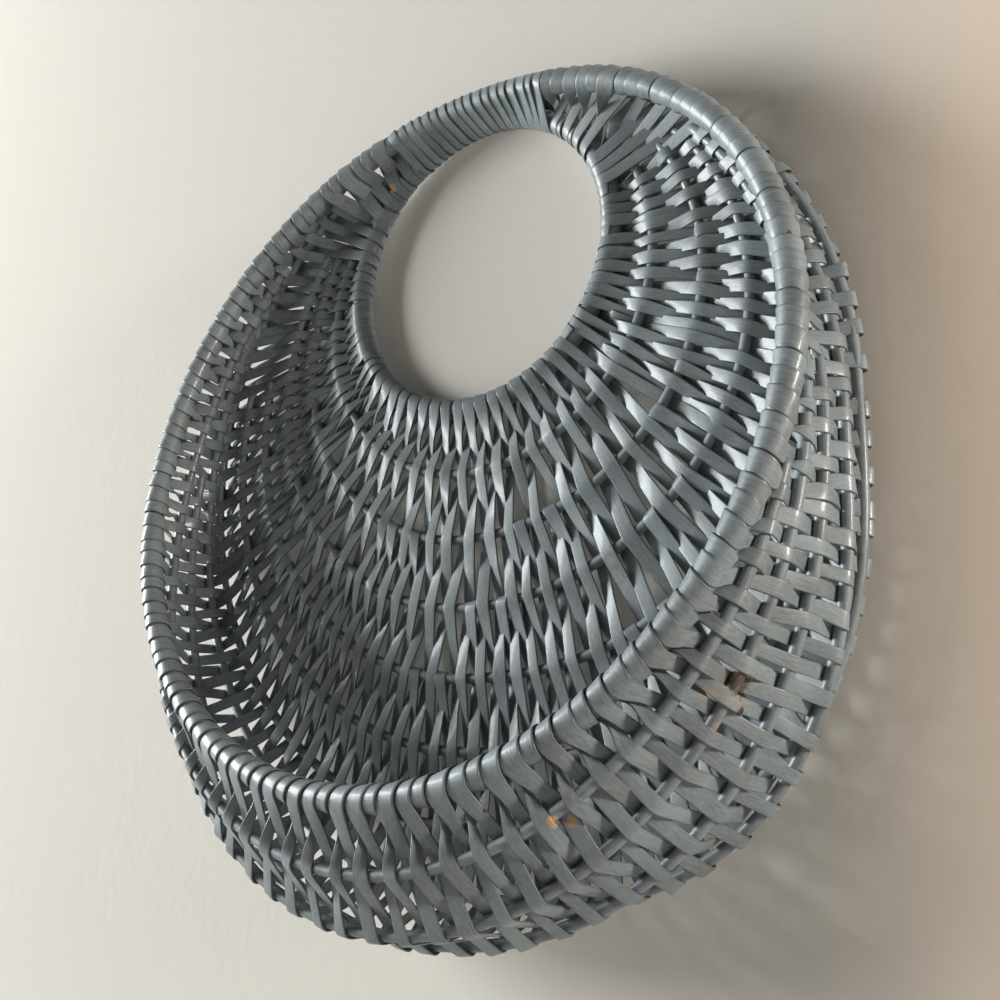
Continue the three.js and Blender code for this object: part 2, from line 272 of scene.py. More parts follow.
    def angle_on(self, index: int, row: Array) -> Array:
        """Angle on a ring where a row crosses it.

        The rows are even along the rim, from one end of the handle to the other. Seen from the
        front, a row follows a ray from the rim's middle over the belly, and from the corner rib up
        the back a ray to the eye's middle.

        Args:
            index: Number of the ring.
            row: Row numbers, which may have fractions.

        Returns:
            Angles on the ring.
        """
        eye, rim, ring = self.rings[0], self.rings[self.rim], self.rings[index]
        belly = self.rings[max(index, self.back_ribs)]
        start = self.handle_rim_angle
        ray = start + (FULL_TURN - 2.0 * start) * (np.asarray(row, float) + 0.5) / self.rows
        turn = self._along_ray(belly, ray, rim.centre[1] - belly.centre[1])
        if index >= self.back_ribs:
            return turn
        up = np.cos(turn) - 1.0 + eye.radius / belly.radius
        return self._along_ray(ring, np.arctan2(np.sin(turn), up), ring.radius - eye.radius)

    def crossing(self, index: int, row: Array) -> tuple[Array, Array]:
        """Points where rows cross a ring, and the ring's unit directions there."""
        angle = self.angle_on(index, row)
        return self.rings[index].points(angle), self.rings[index].tangents(angle)

    def crossed(self, sector: int) -> list[int]:
        """Numbers of the rings that the rows of a sector cross, from the eye hoop to the rim."""
        return [index for index, first in enumerate(self.first_sector) if self.level(sector) >= first]


class Section(Enum):
    """Kinds of section that are carried along a path."""

    ROUND = "round"
    FLAT = "flat"


@dataclass
class Sweep:
    """A closed skin made by carrying a section along a path: a round rod or a flat strip."""

    kind: Section
    sides: int = 14
    bevel: tuple[Pair, ...] = ((1.0, 0.45), (0.955, 0.88), (0.84, 1.0))

    def section(self) -> Array:
        """Corners of a unit section: a regular polygon for a rod, a bevelled bar for a strip.

        Returns:
            Array with x across the width and y across the thickness, from -1 to 1.
        """
        if self.kind is Section.FLAT:
            corner = np.array(self.bevel)
            upper = np.concatenate([corner, corner[::-1] * (-1.0, 1.0)])
            return np.concatenate([upper, -upper])
        turn = (np.arange(self.sides) + 0.5) / self.sides * FULL_TURN
        return np.stack([np.cos(turn), np.sin(turn)], axis=1)

    def skin(
        self, path: Array, across: Array, roll: Array, width: Array, thickness: Array, closed: bool = False
    ) -> tuple[Array, list[Array], Array]:
        """Place the section at every point of a path and join the rings.

        Args:
            path: Centre points, n rows.
            across: Width directions, n rows, made square to the path here.
            roll: Angles in radians by which the section turns about the path.
            width: Full widths.
            thickness: Full thicknesses.
            closed: Whether the path's end meets its start.

        Returns:
            Vertices, a list of face arrays, and for each vertex its length along and its place
            across, as if every section were CHART_WIDTH wide.
        """
        if closed:
            ahead = np.roll(path, -1, axis=0) - np.roll(path, 1, axis=0)
        else:
            ahead = np.gradient(path, axis=0)
        tangent = unit(ahead)
        side = unit(square(across, tangent))
        face = np.cross(tangent, side)
        turn_cos, turn_sin = np.cos(roll)[:, None], np.sin(roll)[:, None]
        side, face = turn_cos * side + turn_sin * face, turn_cos * face - turn_sin * side
        shape = self.section()
        offset_side = shape[None, :, 0] * width[:, None] / 2.0
        offset_face = shape[None, :, 1] * thickness[:, None] / 2.0
        sideways = offset_side[..., None] * side[:, None]
        rings = path[:, None] + sideways + offset_face[..., None] * face[:, None]
        count, sides = len(path), len(shape)
        spans = count if closed else count - 1
        here = (np.arange(spans)[:, None] * sides).repeat(sides, axis=1)
        there = ((np.arange(spans) + 1) % count)[:, None] * sides
        now = np.arange(sides)[None]
        after = (np.arange(sides)[None] + 1) % sides
        quads = np.stack([here + now, here + after, there + after, there + now], axis=-1).reshape(-1, 4)
        faces = [quads]
        if not closed:
            faces.append(np.arange(sides)[::-1][None])
            faces.append((np.arange(sides) + (count - 1) * sides)[None])
        spread = np.tile(shape[:, 0] * CHART_WIDTH / 2.0, (count, 1))
        chart = np.stack([lengths(path)[:, None].repeat(sides, axis=1), spread], axis=-1)
        return rings.reshape(-1, 3), faces, chart.reshape(-1, 2)


@dataclass
class PathKeys:
    """Key places of a strip, gathered in order and then drawn out into an even, smooth path."""

    runs: list[Array] = field(default_factory=list)
    fewest_steps: int = 8
    blur_reach: float = 3.0

    def add(self, places: Array, across: Array, roll: Array, width: Array) -> None:
        """Append a run of keys: points, width directions, turns about the path and strip widths."""
        self.runs.append(np.column_stack([places, across, roll, width]))

    def drawn(self, step: float, blur: float) -> tuple[Array, Array, Array, Array]:
        """Resample the keys' polyline evenly and round its corners with a Gaussian of the given width.

        Args:
            step: Distance between samples.
            blur: Standard deviation of the rounding, in metres.

        Returns:
            Points, width directions, rolls and widths.
        """
        table = np.vstack(self.runs)
        apart = np.linalg.norm(np.diff(table[:, :3], axis=0), axis=1) > SAME_PLACE
        table = table[np.concatenate([[True], apart])]
        along = lengths(table[:, :3])
        count = max(self.fewest_steps, int(round(along[-1] / step)))
        even = np.linspace(0.0, along[-1], count + 1)
        dense = np.stack([np.interp(even, along, column) for column in table.T], axis=1)
        reach = max(1, int(np.ceil(self.blur_reach * blur / step)))
        kernel = np.exp(-0.5 * (np.arange(-reach, reach + 1) * step / blur) ** 2)
        kernel /= kernel.sum()
        padded = np.pad(dense, ((reach, reach), (0, 0)), mode="edge")
        rounded = np.stack([np.convolve(column, kernel, mode="valid") for column in padded.T], axis=1)
        return rounded[:, :3], unit(rounded[:, 3:6]), rounded[:, 6], rounded[:, 7]


def link(name: str, data: bpy.types.ID) -> bpy.types.Object:
    """Make an object of a mesh, lamp or camera and link it to the scene."""
    made = bpy.data.objects.new(name, data)
    bpy.context.scene.collection.objects.link(made)
    return made


def aim(name: str, data: bpy.types.ID, place: Triple, back: Array, tilt: float = 0.0) -> bpy.types.Object:
    """Link a lamp or camera that looks against a direction: right is level, and up square to both.

    Args:
        name: Name of the object.
        data: The lamp or camera.
        place: Where it stands.
        back: Unit direction from what it looks at to itself.
        tilt: Angle by which right and up are turned about that direction.

    Returns:
        The object.
    """
    level = unit(np.cross([0.0, 0.0, 1.0], back))
    rise = np.cross(back, level)
    right = np.cos(tilt) * level + np.sin(tilt) * rise
    up = np.cos(tilt) * rise - np.sin(tilt) * level
    matrix = np.eye(4)
    matrix[:3] = np.stack([right, up, back, np.array(place)], axis=1)
    made = link(name, data)
    made.matrix_world = Matrix(matrix.tolist())
    return made


def make_piece(name: str, vertices: Array, faces: Sequence[Array], chart: Array) -> bpy.types.Object:
    """Put arrays into a smooth-shaded mesh object at the origin, with its chart as a UV map.

    Args:
        name: Name of the piece.
        vertices: Points, n rows.
        faces: Arrays of vertex numbers, one row for each face.
        chart: Length along and place across for each vertex, in metres.

    Returns:
        The new object, linked to the scene.
    """
    mesh = bpy.data.meshes.new(name)
    polygons = [row for block in faces for row in block.tolist()]
    mesh.from_pydata(vertices.tolist(), [], polygons)
    corners = np.empty(len(mesh.loops), np.int32)
    mesh.loops.foreach_get("vertex_index", corners)
    layer = mesh.uv_layers.new(name="strip")
    layer.data.foreach_set("uv", chart[corners].astype(np.float32).ravel())
    mesh.polygons.foreach_set("use_smooth", np.ones(len(mesh.polygons), bool))
    mesh.update()
    return link(name, mesh)


def operator_method(operation: str, swapped: bool = False) -> Callable[["Signal", "Operand"], "Signal"]:
    """Make a method that joins a signal and another value in one Math node.

    Args:
        operation: What the Math node does.
        swapped: Whether the other value comes first.

    Returns:
        The method.
    """

    def join(signal: "Signal", other: "Operand") -> "Signal":
        """Add the node and return its value."""
        ends = (other, signal) if swapped else (signal, other)
        return signal.graph.node("ShaderNodeMath", {"operation": operation}, dict(enumerate(ends)))

    return join


@dataclass(frozen=True)
class Signal:
    """A shader socket that takes part in Python expressions."""

    graph: "Graph"
    socket: bpy.types.NodeSocket

    __add__, __radd__ = operator_method("ADD"), operator_method("ADD", swapped=True)
    __sub__, __rsub__ = operator_method("SUBTRACT"), operator_method("SUBTRACT", swapped=True)
    __mul__, __rmul__ = operator_method("MULTIPLY"), operator_method("MULTIPLY", swapped=True)
    __truediv__ = operator_method("DIVIDE")


Operand = Union[Signal, Number]


class Graph:
    """The node tree of a material or world, built from expressions."""

    def __init__(self, owner: Union[bpy.types.Material, bpy.types.World]) -> None:
        """Start with an empty tree.

        Args:
            owner: Material or world whose tree is built.
        """
        owner.use_nodes = True
        self.owner = owner
        self.tree = owner.node_tree
        self.tree.nodes.clear()

    def node(
        self,
        kind: str,
        settings: Optional[dict] = None,
        inputs: Optional[dict] = None,
        output: Union[int, str] = 0,
    ) -> Signal:
        """Add any node: its settings are set first, then its sockets are set or linked.

        Args:
            kind: Blender's name of the node's type.
            settings: Properties of the node.
            inputs: Values or signals by socket name or number.
            output: Which output to return.

        Returns:
            The chosen output as a signal.
        """
        made = self.tree.nodes.new(kind)
        for key, value in (settings or {}).items():
            setattr(made, key, value)
        for key, value in (inputs or {}).items():
            if isinstance(value, Signal):
                self.tree.links.new(value.socket, made.inputs[key])
            else:
                made.inputs[key].default_value = value
        return Signal(self, made.outputs[output] if len(made.outputs) else None)

    @staticmethod
    def total(weights: Sequence[float], signals: Sequence[Signal]) -> Signal:
        """Sum of signals, each times its weight."""
        return reduce(add, [weight * signal for weight, signal in zip(weights, signals)])

    def blend(self, share: Operand, first: "Paint", second: "Paint") -> Signal:
        """Mix two colours: a share of 0 gives the first, 1 the second."""
        ends = [(*c, 1.0) if isinstance(c, tuple) else c for c in (first, second)]
        return self.node("ShaderNodeMix", {"data_type": "RGBA"}, {0: share, 6: ends[0], 7: ends[1]}, 2)

    def ease(self, value: Signal, low: float, high: float) -> Signal:
        """Ease a value from 0 at low to 1 at high."""
        ends = {"Value": value, "From Min": low, "From Max": high, "To Min": 0.0, "To Max": 1.0}
        return self.node("ShaderNodeMapRange", {"interpolation_type": "SMOOTHSTEP"}, ends)

    def noise(self, place: Signal, stretch: Triple, detail: float = 3.0) -> Signal:
        """Noise about 0.5 at places in metres, with a number of waves per metre on each axis."""
        mapped = self.node("ShaderNodeMapping", None, {"Vector": place, "Scale": stretch})
        return self.node("ShaderNodeTexNoise", None, {"Vector": mapped, "Scale": 1.0, "Detail": detail})

    def seen(self) -> Signal:
        """Give 1 for rays that show the background, from the camera, a reflection or a clear piece."""
        kinds = ("Camera", "Glossy", "Transmission")
        rays = [self.node("ShaderNodeLightPath", None, None, f"Is {kind} Ray") for kind in kinds]
        return reduce(add, rays)

    def backdrop(
        self,
        paint: Triple,
        glow: Triple,
        share: Operand,
        bump: Optional[Signal] = None,
    ) -> Signal:
        """Diffuse paint that keeps shadows, with a share of even glow where the background is seen.

        Args:
            paint: Colour of the paint.
            glow: Colour of the glow.
            share: How much of what is seen is glow.
            bump: Normal of the surface, or None for a smooth one.

        Returns:
            The shader.
        """
        dull = {"Color": (*paint, 1.0)} if bump is None else {"Color": (*paint, 1.0), "Normal": bump}
        plain = self.node("ShaderNodeBsdfDiffuse", None, dull)
        even = self.node("ShaderNodeEmission", None, {"Color": (*glow, 1.0), "Strength": 1.0})
        return self.node("ShaderNodeMixShader", None, {0: self.seen() * share, 1: plain, 2: even})


Paint = Union[Signal, Triple]


class BareKind(Enum):
    """What shows where the paint is gone or soiled."""

    CANE = "cane"
    STAIN = "stain"
    DOT = "dot"


@dataclass(frozen=True)
class BareSpot:
    """A small place where the paint is chipped or stained, as a ball in the frame of the solids."""

    centre: Triple
    radius: float
    kind: BareKind
    share: float = 1.0


MARKS = (
    BareSpot((0.0936, -0.0687, -0.3407), 0.0030, BareKind.CANE),
    BareSpot((0.0968, -0.0614, -0.3402), 0.0024, BareKind.CANE),
    BareSpot((0.0797, -0.0031, -0.2362), 0.0024, BareKind.CANE, 0.4),
    BareSpot((0.0023, -0.0031, -0.2825), 0.0020, BareKind.CANE),
    BareSpot((-0.0562, -0.0063, -0.0159), 0.0028, BareKind.CANE),
    BareSpot((0.0673, -0.0723, -0.3376), 0.0013, BareKind.DOT),
    BareSpot((0.1774, -0.0434, -0.1278), 0.0012, BareKind.STAIN),
    BareSpot((0.1515, -0.0440, -0.2935), 0.0110, BareKind.CANE, 0.13),
    BareSpot((0.1530, -0.0425, -0.2920), 0.0060, BareKind.STAIN, 0.85),
    BareSpot((0.1448, -0.0516, -0.2960), 0.0036, BareKind.CANE, 0.35),
    BareSpot((0.1518, -0.0407, -0.3016), 0.0024, BareKind.STAIN),
    BareSpot((0.1454, -0.0458, -0.3074), 0.0030, BareKind.CANE, 0.3),
)


@dataclass(frozen=True)
class PaintedCane:
    """Semi-gloss blue-grey paint brushed over cane, with grain, painted shade at strip edges, thin places
    that are partly painted sheen, and bare spots.

    The waves of each noise are per metre, along and across the strip or in space. A mix holds the
    weight of each noise in a sum, and a range the values at which an ease starts and ends.
    """

    name: str
    colour: Triple = (0.254, 0.293, 0.305)
    shade: Triple = (0.136, 0.147, 0.149)
    # Lighter blue-grey of thin paint, raised in part as painted sheen standing in for highlights.
    thin_paint_and_sheen: Triple = (0.34, 0.39, 0.42)
    # Near-black painted shade along the strip edges, where neighbouring strips meet.
    painted_seam_shade: Triple = (0.055, 0.060, 0.061)
    cane: Triple = (0.52, 0.33, 0.17)
    stain: Triple = (0.060, 0.026, 0.010)
    dot: Triple = (0.030, 0.025, 0.022)
    grain_waves: Triple = (90.0, 2600.0, 1.0)
    brush_waves: Triple = (260.0, 900.0, 1.0)
    strand_waves: Triple = (9.0, 0.0, 1.0)
    cloud_waves: Triple = (34.0, 34.0, 34.0)
    lump_waves: Triple = (420.0, 420.0, 420.0)
    tone_mix: tuple[float, ...] = (0.26, 0.30, 0.24, 0.20)
    tone_range: Pair = (0.36, 0.62)
    thin_paint_and_sheen_mix: Pair = (0.6, 0.4)
    thin_paint_and_sheen_range: Pair = (0.60, 0.72)
    thin_paint_and_sheen_share: float = 0.36
    painted_seam_shade_fray: float = 0.30
    painted_seam_shade_range: Pair = (0.80, 1.0)
    painted_seam_shade_share: float = 0.55
    roughness: float = 0.48
    rough_mix: Triple = (0.30, 0.24, 0.16)
    bare_roughness: float = 0.25
    coat: float = 0.18
    coat_roughness: float = 0.13
    ior: float = 1.48
    relief_mix: Triple = (0.60, 0.50, 0.55)
    relief_depth: float = 0.16 * MM
    relief_strength: float = 0.8
    spots: tuple[BareSpot, ...] = ()
    spot_fray: float = 1.6
    spot_range: Pair = (0.55, 1.05)

    def make(self) -> bpy.types.Material:
        """Build the finish's nodes.

        Returns:
            The material.
        """
        graph = Graph(bpy.data.materials.new(self.name))
        where = graph.node("ShaderNodeTexCoord", None, None, "Object")
        chart = graph.node("ShaderNodeTexCoord", None, None, "UV")
        grain = graph.noise(chart, self.grain_waves, detail=2.0)
        brush = graph.noise(chart, self.brush_waves, detail=4.0)
        cloud = graph.noise(where, self.cloud_waves, detail=3.0)
        strand = graph.noise(chart, self.strand_waves, detail=1.0)
        lumps = graph.noise(where, self.lump_waves, detail=3.0)
        across = graph.node("ShaderNodeSeparateXYZ", None, {0: chart}, "Y")
        edge = graph.node("ShaderNodeMath", {"operation": "ABSOLUTE"}, {0: across}) / (CHART_WIDTH / 2.0)
        # Painted shade: each strip darkens towards its two edges, frayed by brush noise.
        painted_seam_shade = graph.ease(edge + self.painted_seam_shade_fray * (brush - NOISE_MEAN), *self.painted_seam_shade_range)
        tone = graph.ease(graph.total(self.tone_mix, (cloud, strand, brush, grain)), *self.tone_range)
        # Thin paint places, lightened partly as painted sheen; a noise mask that does not follow the
        # lamps.
        thin_paint_and_sheen = graph.ease(graph.total(self.thin_paint_and_sheen_mix, (lumps, brush)), *self.thin_paint_and_sheen_range)
        colour = graph.blend(tone, self.shade, self.colour)
        colour = graph.blend(thin_paint_and_sheen * self.thin_paint_and_sheen_share, colour, self.thin_paint_and_sheen)
        colour = graph.blend(painted_seam_shade * self.painted_seam_shade_share, colour, self.painted_seam_shade)
        uneven = [noise - NOISE_MEAN for noise in (strand, brush, lumps)]
        rough = self.roughness + graph.total(self.rough_mix, uneven)
        for spot in self.spots:
            mask = self._mask(graph, where, lumps, spot) * spot.share
            colour = graph.blend(mask, colour, getattr(self, spot.kind.value))
            rough = rough + mask * self.bare_roughness
        height = graph.total(self.relief_mix, (grain, brush, lumps))
        relief = {"Strength": self.relief_strength, "Distance": self.relief_depth, "Height": height}
        bump = graph.node("ShaderNodeBump", None, relief)
        shader = graph.node(
            "ShaderNodeBsdfPrincipled",
            None,
            {
                "Base Color": colour,
                "Roughness": rough,
                "Coat Weight": self.coat,
                "Coat Roughness": self.coat_roughness,
                "IOR": self.ior,
                "Normal": bump,
            },
        )
        graph.node("ShaderNodeOutputMaterial", None, {"Surface": shader})
        return graph.owner

    def _mask(self, graph: Graph, where: Signal, lumps: Signal, spot: BareSpot) -> Signal:
        """Mask of a spot: 1 near its centre, 0 outside, with a ragged edge.

        Args:
            graph: Tree to build in.
            where: Object coordinates.
            lumps: Noise that frays the edge.
            spot: The spot.

        Returns:
            Value between 0 and 1.
        """
        away = graph.node(
            "ShaderNodeVectorMath", {"operation": "DISTANCE"}, {0: where, 1: spot.centre}, "Value"
        )
        ragged = away / spot.radius + self.spot_fray * (lumps - NOISE_MEAN)
        return 1.0 - graph.ease(ragged, *self.spot_range)


class Slot(Enum):
    """Material slots of the record."""

    HOOP = "hoop_cane"
    RIB = "rib_cane"
    WEAVER = "weaver_cane"
    LASHING = "lashing_cane"


@dataclass
class SubAssembly:
    """Pieces that are built together and dressed alike."""

    form: BasketForm

    def build(self) -> Pieces:
        """Make the pieces, by the name of the node that each stands for."""
        raise NotImplementedError

    def slot(self, node: str) -> Slot:
        """Material slot of the piece that stands for a node."""
        raise NotImplementedError

    def dress(self, pieces: Pieces, paints: dict[Slot, bpy.types.Material]) -> None:
        """Give each piece its paint and tie it to the frame.

        Args:
            pieces: The pieces, as build returned them.
            paints: Material for each slot.
        """
        for node, piece in pieces.items():
            slot = self.slot(node)
            piece.name = f"{node}_cane"
            piece.data.materials.append(paints[slot])
            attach(piece, ROOT_BODY)
            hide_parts(node)
            LOG.info("%s: %d faces", piece.name, len(piece.data.polygons))


@dataclass
class Rods(SubAssembly):
    """The two bent hoops and the ribs between them, as round cane rods."""

    hoop_radius: float = 4.76 * MM
    rib_radius: float = 2.38 * MM
    hoop_steps: int = 220
    rib_steps: int = 260
    wobble: tuple[Pair, ...] = ((0.03, 7.0), (0.02, 23.0))
    end_taper: float = 0.86
    extra_rows: tuple[float, ...] = (0.0, 2.5, 2.5, 2.5, 2.0, 2.0, 1.5, 2.0, 2.0, 0.5, 2.0, 0.0)

    def build(self) -> Pieces:
        """Make all the rods.

        Returns:
            Objects by the name of the node that each stands for.
        """
        made = {
            "rim_hoop": self._rod("rim_hoop", self.form.rim, self.hoop_radius, None),
            "eye_hoop": self._rod("eye_hoop", 0, self.hoop_radius, None),
        }
        for index in range(1, self.form.rim):
            on_back = index <= self.form.back_ribs
            name = f"back_rib_{index}" if on_back else f"belly_rib_{index - self.form.back_ribs}"
            first_row = self.form.first_sector[index] * self.form.rows_per_sector - self.extra_rows[index]
            start = float(self.form.angle_on(index, first_row))
            made[name] = self._rod(name, index, self.rib_radius, start)
        return made

    def slot(self, node: str) -> Slot:
        """Hoops and ribs have a slot each."""
        return Slot.HOOP if node.endswith("hoop") else Slot.RIB

    def _rod(self, name: str, index: int, radius: float, start: Optional[float]) -> bpy.types.Object:
        """A round rod along a ring: the ring's points with a circle of the rod's radius about each.

        Args:
            name: Name of the piece.
            index: Number of the ring.
            radius: Radius of the rod.
            start: Angle where the rod starts, mirrored at its end, or None for a closed hoop.

        Returns:
            The rod.
        """
        closed = start is None
        if closed:
            angle = np.linspace(0.0, FULL_TURN, self.hoop_steps, endpoint=False)
        else:
            angle = np.linspace(start, FULL_TURN - start, self.rib_steps)
        path = self.form.rings[index].points(angle)
        across = np.tile(np.array([0.0, 1.0, 0.0]), (len(angle), 1))
        waves = [
            size * np.sin(count * angle + order * index)
            for order, (size, count) in enumerate(self.wobble, start=1)
        ]
        thick = 2.0 * radius * (1.0 + np.sum(waves, axis=0))
        if not closed:
            ends = np.minimum(np.arange(len(angle)), np.arange(len(angle))[::-1])
            thick = thick * np.where(ends == 0, self.end_taper, 1.0)
        roll = np.zeros(len(angle))
        skin = Sweep(Section.ROUND).skin(path, across, roll, thick, thick, closed)
        return make_piece(name, *skin)


@dataclass
class Weave(SubAssembly):
    """The flat cane weavers: each goes to the rim and back, over and under the ribs, in one strip.

    Winds are angles in degrees round a rod, lanes are row coordinates and spreads are standard
    deviations. Pinches and waists are parts of a strip's width, shares parts of what they name.
    """

    rods: Rods
    strip_width: float = 6.6 * MM
    strip_thickness: float = 0.85 * MM
    lift: float = 0.35 * MM
    wrap_lift: float = 0.42 * MM
    step: float = 1.1 * MM
    blur: float = 1.9 * MM
    rim_lanes: tuple[float, ...] = (0.1, 1.9, 2.5, 3.4)
    rim_winds: tuple[float, ...] = (600.0, 240.0)
    rim_band: float = 4.0 / 3.0
    rim_twist: float = 1.4
    rim_pinch: float = 0.62
    pinch: float = 0.03
    tightest: float = 0.82
    twist_share: float = 0.46
    snugness: float = 1.06
    narrowest: float = 0.90
    widest: Pair = (1.25, 0.94)
    shingle: float = 0.12
    sparse_pitch: float = 8.5 * MM
    lead_in: float = -25.0
    rim_wind_short: float = 35.0
    eye_winds: Pair = (205.0, 565.0)
    tail_wind: float = 60.0
    wind_step: float = 18.0
    fewest_keys: int = 4
    bend_rise: float = 0.8
    room_share: float = 1.3
    stand_depth: Pair = (10.0 * MM, 26.0 * MM)
    rim_roll: float = 0.15
    rim_waists: Pair = (0.76, 1.15)
    least_room: float = 0.3
    open_levels: int = 3
    crowded_level: int = 6
    flat_sectors: int = 2
    lane_spread: float = 0.12
    width_spread: float = 0.08
    twist_spread: float = 0.10
    tilt_spread: float = 0.08
    band_range: Pair = (0.84, 1.16)
    seed: int = 41

    def build(self) -> Pieces:
        """Make every weaver, by the name of the node that it stands for."""
        names = [f"weaver_{sector + 1:02d}" for sector in range(self.form.sectors)]
        return {name: self._weaver(name, sector) for sector, name in enumerate(names)}

    def slot(self, node: str) -> Slot:
        """All weavers share a slot."""
        return Slot.WEAVER

    def _short_turns(self, sector: int) -> dict[int, int]:
        """Which pairs of rows turn round a rib instead of the eye hoop, and round which rib.

        Low sectors, where the rows crowd at the eye, turn two of four pairs at a rib, middle ones
        one, and those near the handle none.

        Args:
            sector: Number of the sector.

        Returns:
            Number of the rib by the first row of the pair.
        """
        level = self.form.level(sector)
        if level < self.open_levels:
            return {}
        if level < self.crowded_level:
            return {3 if sector % 2 else 1: 2}
        return {1: 2 + sector % 3, 5: 2 + (sector + 1) % 3}

    def _lanes(
        self, turn: int, sector: int, rings: Sequence[int], short: dict[int, int]
    ) -> tuple[Array, Array]:
        """Row coordinates of one row on the rings it crosses, even among the rows that get there.

        Two rows that turn round a rib share one row's place on it.

        Args:
            turn: Number of the row in its sector.
            sector: Number of the sector.
            rings: Rings that the row crosses.
            short: Short turns of the sector.

        Returns:
            Row coordinates and the room for a row in the same units, one for each ring.
        """
        rows = np.arange(self.form.rows_per_sector)
        inner = np.zeros(self.form.rows_per_sector, int)
        for first, rib in short.items():
            inner[first : first + 2] = rib
        beyond = np.asarray(rings)[:, None] - inner[None]
        share = np.where(beyond > 0, 1.0, 0.0) + np.where((beyond == 0) & (inner > 0)[None], 0.5, 0.0)
        share = np.where((inner == 0)[None], 1.0, share)
        room = self.form.rows_per_sector / share.sum(axis=1)
        before = np.where((rows < turn)[None], share, 0.0).sum(axis=1)
        lanes = sector * self.form.rows_per_sector + (before + share[:, turn] / 2.0) * room - 0.5
        return lanes, room

    def _spots(self, rings: Sequence[int], lanes: Array) -> tuple[Array, Array, Array, Array]:
        """How a row lies on its rings.

        Args:
            rings: Rings that the row crosses.
            lanes: Row coordinate on each ring.

        Returns:
            Centres, directions along the rings, directions onward to the rim and out of the pocket.
        """
        crossings = [self.form.crossing(index, np.array(lane)) for index, lane in zip(rings, lanes)]
        centre = np.array([point for point, _ in crossings])
        along = np.array([tangent for _, tangent in crossings])
        onward = np.empty_like(centre)
        onward[1:-1] = centre[2:] - centre[:-2]
        onward[0] = centre[1] - centre[0]
        onward[-1] = centre[-1] - centre[-2]
        if rings[0] == 0 and len(rings) > 2:
            onward[0, 1] = 0.0
        onward = unit(square(onward, along))
        return centre, along, onward, np.cross(onward, along)

    @staticmethod
    def _bends(centre: Array, along: Array, outside: Array) -> Array:
        """Angles by which a row bends at its rings, positive where it bulges out of the pocket.

        Args:
            centre: Points on the rings.
            along: Ring directions.
            outside: Directions out of the pocket.

        Returns:
            Signed angles, 0 at the row's two ends.
        """
        bend = np.zeros(len(centre))
        ring = along[1:-1]
        steps = (centre[1:-1] - centre[:-2], centre[2:] - centre[1:-1])
        legs = [unit(square(step, ring)) for step in steps]
        angle = np.arccos(np.clip(np.sum(legs[0] * legs[1], axis=1), -1.0, 1.0))
        bend[1:-1] = angle * np.sign(np.sum((legs[0] - legs[1]) * outside[1:-1], axis=1))
        return bend

    def _turn(
        self,
        keys: PathKeys,
        index: int,
        lanes: Pair,
        spot: tuple[Array, Array],
        side: int,
        degrees: Pair,
        width: float,
    ) -> None:
        """Keys of a strip that winds round a hoop or rib in a helix.

        The strip's middle is at the rod's middle plus the wrap radius times
        side cos(a) out of the pocket plus sin(a) away from the pocket.

        Args:
            keys: Keys to add to.
            index: Number of the ring.
            lanes: Row coordinates where the winding starts and ends.
            spot: Directions away from the pocket and out of it.
            side: 1 if the strip comes in outside the pocket, -1 if inside.
            degrees: Winding angle at start and end.
            width: Strip width.
        """
        rod = self.rods.hoop_radius if index in (0, self.form.rim) else self.rods.rib_radius
        radius = rod + self.strip_thickness / 2.0 + self.wrap_lift
        count = max(self.fewest_keys, int(abs(degrees[1] - degrees[0]) / self.wind_step))
        share = np.linspace(0.0, 1.0, count + 1)
        angle = np.radians(degrees[0] + (degrees[1] - degrees[0]) * share)
        centre, along = self.form.crossing(index, lanes[0] + (lanes[1] - lanes[0]) * share)
        away, outside = spot
        reach = radius * (side * np.cos(angle)[:, None] * outside + np.sin(angle)[:, None] * away)
        rolls, widths = np.full(count + 1, self.shingle), np.full(count + 1, width)
        keys.add(centre + square(reach, along), along, rolls, widths)

    def _row(
        self, keys: PathKeys, chance: np.random.Generator, sector: int, turn: int, short: dict[int, int]
    ) -> None:
        """Keys of one row: crests over and under its ribs, mid-span twists, and the turn at its end.

        Args:
            keys: Keys to add to.
            chance: Random numbers.
            sector: Number of the sector.
            turn: Number of the row in its sector.
            short: Short turns of the sector.
        """
        present = self.form.crossed(sector)
        outward = turn % 2 == 0
        first = turn - 1 if outward else turn
        inner = present.index(short[first]) if first in short else 0
        rings = present[inner:]
        lanes, room = self._lanes(turn, sector, rings, short)
        lanes = lanes + chance.normal(0.0, self.lane_spread, len(lanes)) * room
        group = len(self.rim_lanes)
        start = sector * self.form.rows_per_sector + turn // group * group
        lanes[-1] = start + self.rim_lanes[turn % group]
        room[-1] = self.rim_band
        centre, along, onward, outside = self._spots(rings, lanes)
        place = np.arange(inner, len(present))
        side = np.where((turn + len(present) - place) % 2 == 0, 1.0, -1.0)
        width = self.strip_width * (1.0 + chance.normal(0.0, self.width_spread))
        hoop = self.rods.hoop_radius + self.strip_thickness / 2.0 + self.wrap_lift
        rise = np.full(len(rings), self.rods.rib_radius + self.strip_thickness / 2.0 + self.lift)
        rise[-1] = hoop
        if rings[0] == 0:
            rise[0] = hoop
        bend = np.maximum(0.0, side * self._bends(centre, along, outside))
        rise = rise + self.bend_rise * self.blur * np.sin(bend / 2.0)
        fan = (bend[:, None] / 3.0 * np.array([-1.0, 0.0, 1.0]))[..., None]
        lean = np.cos(fan) * (side[:, None] * outside)[:, None] + np.sin(fan) * onward[:, None]
        tops = centre[:, None] + rise[:, None, None] * lean
        aside, _, _, _ = self._spots(rings, lanes + room)
        gap = np.linalg.norm(aside - centre, axis=1)
        widest = np.where(np.array(rings) <= self.form.back_ribs, *self.widest)
